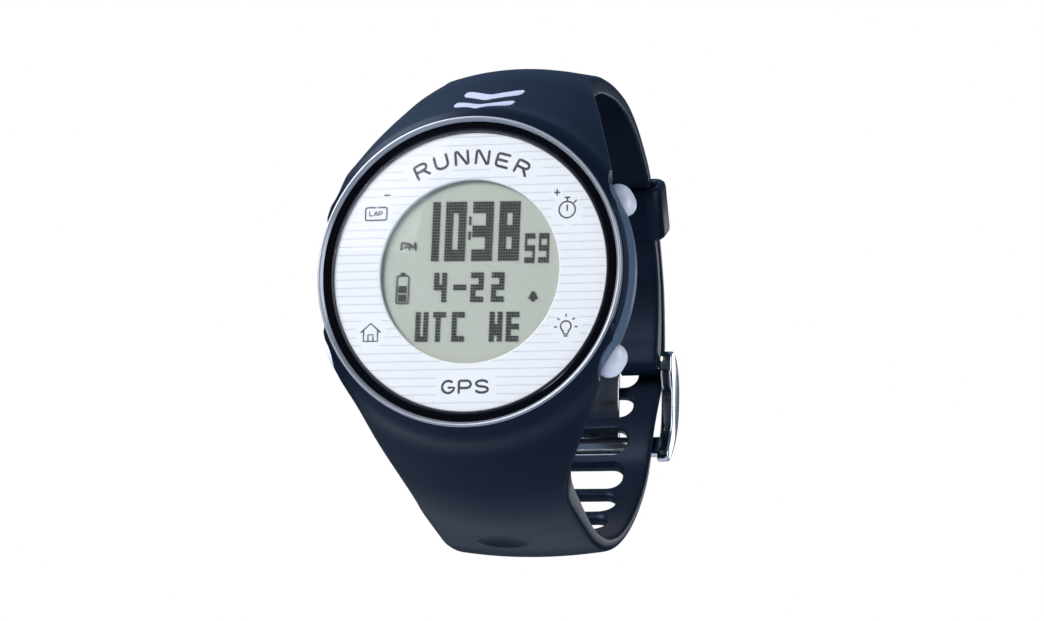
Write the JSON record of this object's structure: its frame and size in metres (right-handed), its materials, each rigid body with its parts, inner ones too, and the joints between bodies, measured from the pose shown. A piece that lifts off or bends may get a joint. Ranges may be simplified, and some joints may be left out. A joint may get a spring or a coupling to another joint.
{
  "type": "gps running watch",
  "caption": "Round digital running watch with four side buttons, a segmented display under glass, and a slotted strap closed by a steel buckle and a keeper loop.",
  "frame": {"origin": "middle of the strap's wrist opening, level with the centre of the dial", "axes": "+Z to 12 o'clock, -Y out of the dial towards the wearer's eye, +X to the 3 o'clock side"},
  "size_m": [0.0446, 0.0719, 0.0695],
  "materials": {
    "navy_strap": "matte soft polyurethane",
    "case_plastic": "satin slate-blue moulded plastic",
    "black_gloss": "gloss black",
    "silver_ring": "satin anodised",
    "glass": "polished mineral glass",
    "gasket_grey": "matte",
    "dial_white": "semi-gloss printed film",
    "lcd_glass": "reflective liquid crystal display",
    "light_guide": "clear",
    "white_plastic": "moulded",
    "seal_rubber": "matte",
    "circuit_board": "solder mask",
    "ceramic": "fired ceramic",
    "shield_tin": "tinned",
    "chip_black": "moulded epoxy",
    "battery_foil": "foil pouch",
    "brass": "plain",
    "gold_contact": "gold flash",
    "steel": "brushed",
    "polished_steel": "polished",
    "button_lavender": "satin moulded plastic"
  },
  "bodies": {
    "watch": {"case_shell": "case_plastic", "bezel": "black_gloss", "accent_ring": "silver_ring", "lens": "glass", "lens_gasket": "gasket_grey", "dial_plate": "dial_white", "lcd_panel": "lcd_glass", "backlight": "light_guide", "module_frame": "white_plastic", "zebra_strips": "gasket_grey", "main_board": "circuit_board", "gps_antenna": "ceramic", "gps_receiver": "shield_tin", "processor": "chip_black", "battery": "battery_foil", "piezo_buzzer": "brass", "contact_block": "chip_black", "contact_pins": "gold_contact", "case_back": "steel", "back_gasket": "seal_rubber", "back_screws": "steel", "tact_switches": "shield_tin", "button_tubes": "steel", "strap_pins": "steel", "upper_strap": "navy_strap", "lower_strap": "navy_strap", "buckle_pin": "polished_steel", "spring_timer": "steel", "spring_light": "steel", "spring_home": "steel", "spring_lap": "steel"},
    "frame": {"buckle_frame": "polished_steel"},
    "tongue": {"buckle_tongue": "polished_steel"},
    "keeper": {"keeper": "navy_strap"},
    "timer": {"button_timer": "button_lavender", "seal_timer": "seal_rubber", "clip_timer": "steel", "plunger_timer": "chip_black"},
    "light": {"button_light": "button_lavender", "seal_light": "seal_rubber", "clip_light": "steel", "plunger_light": "chip_black"},
    "home": {"button_home": "button_lavender", "seal_home": "seal_rubber", "clip_home": "steel", "plunger_home": "chip_black"},
    "lap": {"button_lap": "button_lavender", "seal_lap": "seal_rubber", "clip_lap": "steel", "plunger_lap": "chip_black"}
  },
  "joints": [
    {"name": "press_timer", "type": "slide", "parent": "watch", "child": "timer", "axis": [-0.887, 0, -0.4617], "range_m": [0, 0.0006], "stiffness_N_per_m": 1200, "springref_m": -0.0006, "deforming": ["spring_timer"]},
    {"name": "press_light", "type": "slide", "parent": "watch", "child": "light", "axis": [-0.849, 0, 0.5284], "range_m": [0, 0.0006], "stiffness_N_per_m": 1200, "springref_m": -0.0006, "deforming": ["spring_light"]},
    {"name": "press_home", "type": "slide", "parent": "watch", "child": "home", "axis": [0.887, 0, 0.4617], "range_m": [0, 0.0006], "stiffness_N_per_m": 1200, "springref_m": -0.0006, "deforming": ["spring_home"]},
    {"name": "press_lap", "type": "slide", "parent": "watch", "child": "lap", "axis": [0.849, 0, -0.5284], "range_m": [0, 0.0006], "stiffness_N_per_m": 1200, "springref_m": -0.0006, "deforming": ["spring_lap"]},
    {"name": "buckle_frame_swing", "type": "hinge", "parent": "watch", "child": "frame", "pos_m": [0, 0.0287, -0.0026], "axis": [1, 0, 0], "range_deg": [-1.5, 0]},
    {"name": "tongue_swing", "type": "hinge", "parent": "watch", "child": "tongue", "pos_m": [0, 0.0287, -0.0026], "axis": [1, 0, 0], "range_deg": [0, 2]},
    {"name": "keeper_slide", "type": "slide", "parent": "watch", "child": "keeper", "axis": [0, 0.48, -0.8773], "range_m": [0, 0.0035]}
  ]
}
